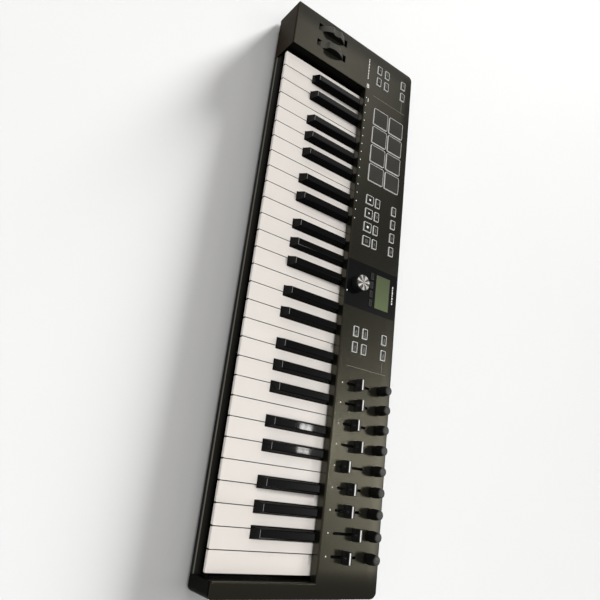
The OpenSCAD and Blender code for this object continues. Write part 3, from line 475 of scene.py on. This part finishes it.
# The material of each slot in the record, and of the few nodes that look different
SLOT_MATERIAL = {
    "case_shell": "shell", "tray": "tray", "window": "gloss", "lcd": "lcd", "board": "board",
    "steel": "steel", "rubber_black": "foot", "felt": "felt", "screw_black": "screw",
    "socket_black": "socket", "frame_grey": "inner", "wheel_rubber": "wheel", "knob_black": "knob",
    "encoder_silver": "silver", "pad_rubber": "rubber", "button_white": "button_white",
    "key_white": "white_key", "key_black": "black_key",
}
OWN_MATERIAL = {
    "key_slip": "slip", "control_bodies": "socket", "key_frame": "socket", "key_guides": "socket",
}
for part in frame["record"]["subparts"]:
    name = part["node"]
    look = OWN_MATERIAL.get(name, SLOT_MATERIAL[part["material_slot"]])
    nodes[name].data.materials.clear()
    nodes[name].data.materials.append(M[look])


# ---------------------------------------------------------------- pieces

class Shape:
    """Collects lofts in millimetres and turns them into one object."""

    def __init__(self):
        self.points, self.faces, self.mats = [], [], []

    def loft(self, rings, m=0, ends=True, wrap=False):
        base, n, k = len(self.points), len(rings[0]), len(rings)
        for r in rings:
            self.points += [(x * MM, y * MM, z * MM) for x, y, z in r]
        for a in range(k if wrap else k - 1):
            b = (a + 1) % k
            for i in range(n):
                j = (i + 1) % n
                self.faces.append((base + a * n + i, base + a * n + j,
                                   base + b * n + j, base + b * n + i))
                self.mats.append(m)
        if ends and not wrap:
            self.faces.append(tuple(base + i for i in reversed(range(n))))
            self.faces.append(tuple(base + (k - 1) * n + i for i in range(n)))
            self.mats += [m, m]

    def build(self, name, materials, body, slot, angle=35):
        me = bpy.data.meshes.new(name)
        me.from_pydata(self.points, [], self.faces)
        for m in materials:
            me.materials.append(M[m])
        me.polygons.foreach_set("material_index", self.mats)
        me.polygons.foreach_set("use_smooth", [True] * len(self.faces))
        me.update()
        me.set_sharp_from_angle(angle=math.radians(angle))
        o = bpy.data.objects.new(name, me)
        bpy.context.scene.collection.objects.link(o)
        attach(o, body)
        return o


def outline(x, y, w, d, r, n=5):
    """A rectangle with round corners, counter-clockwise."""
    r = max(r, 0.02)
    pts = []
    for cx, cy, a0 in ((1, 1, 0), (-1, 1, 90), (-1, -1, 180), (1, -1, 270)):
        for i in range(n + 1):
            a = math.radians(a0 + 90 * i / n)
            pts.append((x + cx * (w / 2 - r) + r * math.cos(a),
                        y + cy * (d / 2 - r) + r * math.sin(a)))
    return pts


def circle(x, y, r, n=32):
    return [(x + r * math.cos(2 * math.pi * i / n), y + r * math.sin(2 * math.pi * i / n))
            for i in range(n)]


def at(pts, z):
    return [(x, y, z) for x, y in pts]


def inset(x, y, w, d, r, e, z):
    """The outline of a rounded rectangle, drawn in by e, at the height z."""
    return at(outline(x, y, w - 2 * e, d - 2 * e, r - e), z)


def plate(s, x, y, w, d, r, z0, z1, b):
    """A flat tile from z0 to z1 with its upper edge rolled by b."""
    rings = [at(outline(x, y, w, d, r), z0)]
    for a in (0, 30, 60, 90):
        e = b * (1 - math.cos(math.radians(a)))
        rings.append(inset(x, y, w, d, r, e, z1 - b + b * math.sin(math.radians(a))))
    s.loft(rings)


def frame_ring(s, x, y, w, d, r, t, z0, z1, b):
    """An upright wall that follows a rounded rectangle, t thick, rolled at the top by b."""
    rings = [at(outline(x, y, w, d, r), z0)]
    for a in (0, 45, 90):
        e = b * (1 - math.cos(math.radians(a)))
        rings.append(inset(x, y, w, d, r, e, z1 - b + b * math.sin(math.radians(a))))
    for a in (90, 45, 0):
        e = t - b * (1 - math.cos(math.radians(a)))
        rings.append(inset(x, y, w, d, r, e, z1 - b + b * math.sin(math.radians(a))))
    rings.append(inset(x, y, w, d, r, t, z0))
    s.loft(rings, wrap=True)


def disc(s, x, y, r, z0, z1, b, n=32):
    """A round tile from z0 to z1 with its upper edge cut back by b."""
    s.loft([at(circle(x, y, r, n), z0), at(circle(x, y, r, n), z1 - b),
            at(circle(x, y, r - b, n), z1)])


def bar(s, x0, y0, x1, y1, z0, z1):
    s.loft([at([(x0, y0), (x1, y0), (x1, y1), (x0, y1)], z) for z in (z0, z1)])


def button_top(s, x, y, w, d):
    plate(s, x, y, w - 1.5, d - 1.5, 0.6, CAP_Z - 0.05, CAP_Z + CAP_T, 0.1)


def make_buttons():
    """Black printed tops on the white light-guide caps, with their plain marks."""
    z0, z1 = CAP_Z + CAP_T - SUNK, CAP_Z + CAP_T + INK
    top, mark = Shape(), Shape()
    for n, x in enumerate(LEFT_X + RIGHT_X):
        for k, y in enumerate(ROWS):
            button_top(top, x, y, *BUTTON)
            half = 1.6 + 0.9 * ((n * 3 + k * 2) % 3)
            bar(mark, x - half, y - 0.45, x + half, y + 0.1, z0, z1)
            bar(mark, x - half, y + 0.7, x + half - 1.1 - 0.4 * (k % 2), y + 1.15, z0, z1)
    top.build("bank_button_tops", ["button_top"], "bank_buttons", "knob_black")
    mark.build("bank_button_marks", ["ink_dim"], "bank_buttons", "button_white")
    top, mark, bright = Shape(), Shape(), Shape()
    for i, x in enumerate(TRANSPORT_X):
        button_top(top, x, SQUARE_Y, BUTTON[0], SQUARE)
        for k, y in enumerate(TRANSPORT_Y):
            button_top(top, x, y, *BUTTON)
            half = 1.7 + 0.7 * ((i + 2 * k) % 3)
            bar(mark, x - half, y - 0.5, x + half, y + 0.1, z0, z1)
            bar(mark, x - half + 0.8, y + 0.8, x + half, y + 1.25, z0, z1)
    # A square, a triangle, a dot and a ring on the four square buttons
    stop_x, play_x, record_x, loop_x = TRANSPORT_X
    bar(bright, stop_x - 1.55, 47.1, stop_x + 1.55, 50.2, z0, z1)
    triangle = [(play_x - 1.3, 46.9), (play_x + 1.7, SQUARE_Y), (play_x - 1.3, 50.3)]
    bright.loft([at(triangle, z0), at(triangle, z1)])
    disc(bright, record_x, SQUARE_Y, 2.0, z0, z1, SUNK)
    frame_ring(mark, loop_x, SQUARE_Y, 4.6, 4.6, 0.8, 0.55, z0, z1, SUNK)
    bar(mark, loop_x - 0.9, 48.3, loop_x + 0.9, 48.9, z0, z1)
    top.build("transport_button_tops", ["button_top"], "transport_buttons", "knob_black")
    mark.build("transport_button_marks", ["ink_dim"], "transport_buttons", "button_white")
    bright.build("transport_button_symbols", ["ink"], "transport_buttons", "button_white")
    s = Shape()
    for x in CONTEXT_X:
        frame_ring(s, x, CONTEXT_Y, 9.5, 5.1, 0.6, 0.4, PANEL_Z + 0.6, PANEL_Z + 0.86, 0.08)
    s.build("context_button_rims", ["grey_edge"], "context_buttons", "knob_black")


def make_pads():
    """Each pad: a dark soft top inside a white light-guide rim."""
    rim, cap = Shape(), Shape()
    for x in PAD_X:
        for y in PAD_Y:
            outer, inner = PAD_W + 0.1, PAD_W - 1.4
            frame_ring(rim, x, y, outer, outer, 2.0, 0.65, PANEL_Z - 1.0, CAP_Z + 0.05, 0.16)
            plate(cap, x, y, inner, inner, 1.5, CAP_Z - 0.1, CAP_Z + 0.22, 0.3)
    rim.build("pad_light_rims", ["button_white"], "pads", "button_white")
    cap.build("pad_soft_tops", ["rubber"], "pads", "pad_rubber")


def make_faders():
    """White line of each fader cap, a small rib on its front painted light grey as a highlight,
    and near-black rings round the nine slots painted as their shade.
    """
    top = FADER_TOP
    for k, (x, rest) in enumerate(zip(FADER_X, FADER_REST), 1):
        y, body = FADER_Y + rest, "fader_%d" % k
        s = Shape()
        bar(s, x - 6.65, y - 1.65, x + 6.65, y + 0.05, top - 0.3, top + 0.06)
        s.build("fader_line_%d" % k, ["ink"], body, "button_white")
        # A small rib on the cap's front, coloured light grey as a painted highlight
        s = Shape()
        highlight_rib = [(y - 2.35, top - 9.4), (y - 2.62, top - 8.6),
                (y - 2.62, top - 5.4), (y - 2.35, top - 4.6)]
        s.loft([[(x + dx, py, pz) for py, pz in highlight_rib] for dx in (-0.35, 0.35)])
        s.build("fader_grip_%d" % k, ["highlight_rib_shine"], body, "knob_black")
    # Near-black rings round the slots: painted shade that makes each slot look wider and darker
    s = Shape()
    for x in FADER_X:
        frame_ring(s, x, FADER_Y, 3.4, 39.6, 1.6, 0.55, PANEL_Z - 0.3, PANEL_Z + 0.04, 0.03)
    s.build("fader_slot_rims", ["slot_shade_rim"], "case", "socket_black")


def make_knobs():
    """Barrel-shaped fluted knobs that stand for the plain turned ones."""
    flutes, n = 24, 144
    # Heights over the panel and radii of the fluted side, the rounded lip and the top disc
    side = ((0.5, 5.8), (1.0, 6.0), (2.5, 6.5), (4.5, 6.78), (6.0, 6.82), (9.5, 6.68),
            (13.0, 6.32), (15.6, 5.95), (16.9, 5.72))
    lip = ((17.3, 5.5), (17.6, 5.2), (17.62, 4.0))
    face = ((17.5, 4.05), (17.62, 4.0), (17.66, 3.8))
    for k, x in enumerate(FADER_X, 1):
        s, rings = Shape(), []
        for h, r in side:
            depth = 0.2 if 1.5 < h < 16.5 else 0.04
            ring = []
            for i in range(n):
                a = 2 * math.pi * i / n
                rr = r - depth * (0.5 + 0.5 * math.cos(a * flutes)) ** 2
                ring.append((x + rr * math.cos(a), KNOB_Y + rr * math.sin(a), PANEL_Z + h))
            rings.append(ring)
        for h, r in lip:
            rings.append(at(circle(x, KNOB_Y, r, n), PANEL_Z + h))
        s.loft(rings)
        s.loft([at(circle(x, KNOB_Y, r, 48), PANEL_Z + h) for h, r in face], 1)
        o = s.build("knob_cap_%d" % k, ["knob", "knob_top"], "knob_%d" % k, "knob_black")
        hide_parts("knob_%d" % k)


def make_encoder():
    """Fine ribs round the skirt, and a spun face cut in a sunburst of shallow facets."""
    n, rays, z1 = 288, 13, PANEL_Z + 12.3
    s, rings = Shape(), [at(circle(0, ENCODER_Y, 11.5, n), PANEL_Z + 0.8)]
    for h, depth in ((0.9, 0.0), (1.4, 0.16), (9.6, 0.16), (10.2, 0.0)):
        ring = []
        for i in range(n):
            a = 2 * math.pi * i / n
            rr = 11.86 - depth * (i % 4 in (1, 2))
            ring.append((rr * math.cos(a), ENCODER_Y + rr * math.sin(a), PANEL_Z + h))
        rings.append(ring)
    rings.append(at(circle(0, ENCODER_Y, 11.5, n), PANEL_Z + 10.5))
    s.loft(rings, ends=False, wrap=True)
    s.build("encoder_ribs", ["knob"], "encoder", "knob_black", angle=25)
    s, steps = Shape(), 6
    m = rays * 2 * steps

    def facets(r, high, low):
        """A ring whose points lie high on one ray and low on the next."""
        pts = []
        for i in range(m):
            a = 2 * math.pi * i / m
            lift = high if (i // steps) % 2 else low
            pts.append((r * math.cos(a), ENCODER_Y + r * math.sin(a), z1 + lift))
        return pts

    rings = [at(circle(0, ENCODER_Y, r, m), z1 - drop)
             for r, drop in ((10.7, 1.7), (10.78, 0.95), (10.45, 0.35), (9.9, 0.1))]
    rings += [facets(9.6, 0.02, -0.12), facets(5.0, 0.05, -0.12), facets(1.2, 0.06, 0.0)]
    rings.append(at(circle(0, ENCODER_Y, 0.4, m), z1 + 0.05))
    s.loft(rings)
    o = s.build("encoder_face", ["sunburst"], "encoder", "encoder_silver", angle=20)
    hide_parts("encoder_cap")


def make_display():
    """The display's glass, which shows nothing, and the thin rim around it."""
    z, half_w, half_d = PANEL_Z - 0.4, 24.4, 12.7
    s = Shape()
    bar(s, -half_w, DISPLAY_Y - half_d, half_w, DISPLAY_Y + half_d, z - 0.02, z + 0.12)
    s.build("lcd_glass", ["lcd"], "case", "lcd")
    s = Shape()
    frame_ring(s, 0, DISPLAY_Y, 49.9, 26.5, 0.5, 0.45, z - 0.2, PANEL_Z - 0.02, 0.1)
    s.build("lcd_bezel", ["lcd_rim"], "case", "window")


def make_printing():
    """White ink on the panel: dots, dashes and group lines. Names are left as plain dashes."""
    s, z0, z1 = Shape(), PANEL_Z - SUNK, PANEL_Z + INK
    for i in range(16):
        disc(s, -301.5 + 13.708 * i, 24.2, 0.85, z0, z1, SUNK, n=16)
    for x in FADER_X:
        disc(s, x, 31.2, 0.9, z0, z1, SUNK, n=16)
    disc(s, 13.5, 23.6, 0.9, z0, z1, SUNK, n=16)
    s.build("panel_dots", ["ink"], "case", "button_white")
    # Two group lines toward the back, each with a branch at branch_y
    s, w, branch_y = Shape(), 0.24, 97.5
    for x, y0, branch in ((-312.45, 36.5, (-333.75, -313.5)), (115.15, 35.4, (97.95, 113.35))):
        bar(s, x - w, y0, x + w, 105.0, z0, z1)
        bar(s, branch[0], branch_y - w, branch[1], branch_y + w, z0, z1)
    s.build("panel_lines", ["ink_dim"], "case", "button_white")
    # Dashes where the names stood: first x, then each dash with the gap after it
    s, x = Shape(), -374.0
    for k, step in enumerate((3.4, 2.6, 3.0, 3.6, 2.2, 3.2, 2.8, 3.4, 2.4, 3.0, 3.6, 2.6, 3.2)):
        bar(s, x, 22.9, x + step - 0.9, 24.2 + 0.5 * (k % 2), z0, z1)
        x += step
    frame_ring(s, -323.8, 24.9, 7.0, 4.4, 0.9, 1.0, z0, z1, SUNK)
    bar(s, -325.6, 24.3, -322.0, 25.5, z0, z1)
    bar(s, -302.2, 27.4, -295.6, 28.4, z0, z1)
    x = -16.4
    for k, step in enumerate((4.4, 3.6, 4.6, 3.8, 4.4, 4.0, 3.8)):
        bar(s, x, 106.7, x + step - 1.1, 108.6 - 0.4 * (k % 2), z0, z1)
        x += step
    s.build("panel_dashes", ["ink"], "case", "button_white")


def lathe_y(s, x, z, profile, n=40):
    """Turned about a line along Y through x, z: profile lists how far behind the rear face
    each ring lies and its radius, and it closes on itself."""
    rings = []
    for behind, r in profile:
        rings.append([(x + r * math.cos(2 * math.pi * i / n), REAR_Y + behind,
                       z + r * math.sin(2 * math.pi * i / n)) for i in range(n)])
    s.loft(rings, wrap=True)


def make_rear():
    """Collars, liner and contacts of the sockets in the rear wall."""
    s = Shape()
    for x in JACK_X:
        lathe_y(s, x, SOCKET_Z, ((-0.5, 4.9), (0.1, 4.9), (0.35, 4.6), (0.35, 3.6), (0.1, 3.35),
                                 (-3.0, 3.35), (-3.0, 4.9)))
    lathe_y(s, MIDI_X, SOCKET_Z, ((-0.5, 8.3), (-0.1, 8.3), (0.1, 8.0), (0.1, 7.5), (-0.1, 7.25),
                                  (-4.0, 7.25), (-4.0, 8.3)))
    s.build("socket_collars", ["steel"], "case", "steel")
    s = Shape()
    outer = outline(USB_X, SOCKET_Z, 8.9, 3.2, 1.55)
    inner = outline(USB_X, SOCKET_Z, 8.45, 2.65, 1.3)
    rings = [[(x, REAR_Y + behind, z) for x, z in pts] for pts, behind in
             ((outer, -9.0), (outer, -2.4), (inner, -2.4), (inner, -9.0))]
    s.loft(rings, wrap=True)
    s.build("usb_liner", ["steel"], "case", "steel")
    s, ring_r = Shape(), 3.9
    for degrees in (-90, -45, 0, 45, 90):
        a = math.radians(degrees)
        lathe_y(s, MIDI_X + ring_r * math.sin(a), SOCKET_Z - ring_r * math.cos(a),
                ((-12.0, 0.75), (-9.5, 0.75), (-9.5, 0.35), (-12.0, 0.35)), n=12)
    s.build("midi_contacts", ["steel"], "case", "steel")


make_buttons()
make_pads()
make_faders()
make_knobs()
make_encoder()
make_display()
make_printing()
make_rear()


# ---------------------------------------------------------------- soft edges on the CAD pieces

def soften(name, width):
    """Rolls the sharp moulded edges of a CAD piece without touching its own vertices."""
    o = nodes[name]
    w = o.modifiers.new("weld", "WELD")
    w.merge_threshold = 0.000004
    d = o.modifiers.new("flat", "DECIMATE")
    d.decimate_type = "DISSOLVE"
    d.angle_limit = math.radians(1.0)
    b = o.modifiers.new("bevel", "BEVEL")
    b.width = width
    b.segments = 2
    b.limit_method = "ANGLE"
    b.angle_limit = math.radians(38)
    b.use_clamp_overlap = True
    b.harden_normals = True


for name in nodes:
    if "_keys_" in name:
        soften(name, 0.5 * MM)
    elif "_sharps" in name:
        soften(name, 0.3 * MM)
for name in ("context_buttons", "bank_buttons", "transport_buttons"):
    soften(name, 0.12 * MM)


# ---------------------------------------------------------------- stage, light, camera

def make_stage():
    """A plain grey floor far wider than the picture."""
    m, nt, p = tree("stage_floor")
    clouds = noise_of(nt, coords(nt), 3.0)
    colour = mix(nt, clouds, (0.432, 0.432, 0.432), (0.447, 0.447, 0.447))
    nt.links.new(colour, p.inputs["Base Color"])
    p.inputs["Roughness"].default_value = 0.9
    p.inputs["Specular IOR Level"].default_value = 0.1
    bpy.ops.mesh.primitive_plane_add(size=40, location=(0, 0, 0))
    o = bpy.context.object
    o.name = "floor"
    o.data.materials.append(m)


def add_lamp(name, kind, energy, facing):
    """A lamp that shines along the direction facing."""
    d = bpy.data.lights.new(name, kind)
    d.energy = energy
    o = bpy.data.objects.new(name, d)
    bpy.context.scene.collection.objects.link(o)
    o.rotation_mode = "QUATERNION"
    o.rotation_quaternion = facing.to_track_quat("-Z", "Y")
    return o


def aim(az, el):
    """Unit vector at an azimuth from +Y toward +X and an elevation, in degrees."""
    a, e = math.radians(az), math.radians(el)
    return (math.sin(a) * math.cos(e), math.cos(a) * math.cos(e), math.sin(e))


def glow(nt, direction, az, el, focus, strength):
    """A soft round patch of sky that fades away from its middle; a high focus makes it small."""
    dot = node(nt, "ShaderNodeVectorMath", operation="DOT_PRODUCT")
    nt.links.new(direction, dot.inputs[0])
    dot.inputs[1].default_value = aim(az, el)
    near = math_node(nt, "MAXIMUM", dot.outputs["Value"], 0.0)
    return math_node(nt, "MULTIPLY", math_node(nt, "POWER", near, focus), strength)


# Azimuth, elevation, focus and strength of each patch of sky
SKY = ((-3, 42, 75, 4.6), (-56.5, 40, 110, 1.6), (-105, 38, 20, 1.1), (0, 90, 10, 0.5),
       (180, 35, 3, 0.3), (-62, 11, 90, 3.0))
SKY_BASE = 0.15

# The window in the sky: middle, half width and place of its bar, as x / z and as y / z
WINDOW_ACROSS = (-0.106, 0.034, 0.026)
WINDOW_ALONG = (0.730, 0.0150, 0.0)
WINDOW_BAR = 0.0012
WINDOW_STRENGTH = 60.0


def window_panes(nt, direction):
    """A bright window of two by two panes, high and ahead."""
    x, y, z = split(nt, direction)
    panes = []
    for value, (middle, half, bar_at) in ((x, WINDOW_ACROSS), (y, WINDOW_ALONG)):
        place = math_node(nt, "DIVIDE", value, z)
        off = math_node(nt, "ABSOLUTE", math_node(nt, "SUBTRACT", place, middle))
        bar_off = math_node(nt, "ABSOLUTE", math_node(nt, "SUBTRACT", off, bar_at))
        panes.append(math_node(nt, "MULTIPLY", math_node(nt, "LESS_THAN", off, half),
                               math_node(nt, "GREATER_THAN", bar_off, WINDOW_BAR)))
    lit = math_node(nt, "MULTIPLY", *panes)
    above = math_node(nt, "GREATER_THAN", z, 0.1)
    return math_node(nt, "MULTIPLY", math_node(nt, "MULTIPLY", lit, above), WINDOW_STRENGTH)


def make_light():
    """The patched sky, a broad lamp above, and a low sun that falls on the floor alone."""
    w = bpy.data.worlds.new("studio")
    bpy.context.scene.world = w
    w.use_nodes = True
    nt = w.node_tree
    direction = node(nt, "ShaderNodeTexCoord").outputs["Generated"]
    total = window_panes(nt, direction)
    for patch in SKY:
        total = math_node(nt, "ADD", total, glow(nt, direction, *patch))
    total = math_node(nt, "ADD", total, SKY_BASE)
    bg = nt.nodes["Background"]
    bg.inputs["Color"].default_value = (1.0, 0.985, 0.96, 1)
    nt.links.new(total, bg.inputs["Strength"])
    place = Vector((0.3, -0.2, 2.2))
    lamp = add_lamp("top_soft", "AREA", 31, -place)
    lamp.location = place
    lamp.data.shape = "RECTANGLE"
    lamp.data.size, lamp.data.size_y = 2.0, 2.0
    lamp.visible_glossy = False
    sun = add_lamp("low_rear", "SUN", 17.0, -Vector(aim(-57, 12)))
    sun.data.angle = math.radians(15)
    only_floor = bpy.data.collections.new("only_floor")
    only_floor.objects.link(bpy.data.objects["floor"])
    sun.light_linking.receiver_collection = only_floor


def make_camera():
    """The photo's own camera, solved from the keys."""
    d = bpy.data.cameras.new("camera")
    d.sensor_width = 36
    d.lens = 33.80
    d.clip_start, d.clip_end = 0.02, 60
    o = bpy.data.objects.new("camera", d)
    bpy.context.scene.collection.objects.link(o)
    o.location = (0.2752, -0.4285, 0.6122)
    o.rotation_mode = "QUATERNION"
    o.rotation_quaternion = (0.58923, 0.30520, -0.11523, 0.73918)
    bpy.context.scene.camera = o


make_stage()
make_light()
make_camera()
bpy.context.scene.view_settings.view_transform = "Standard"
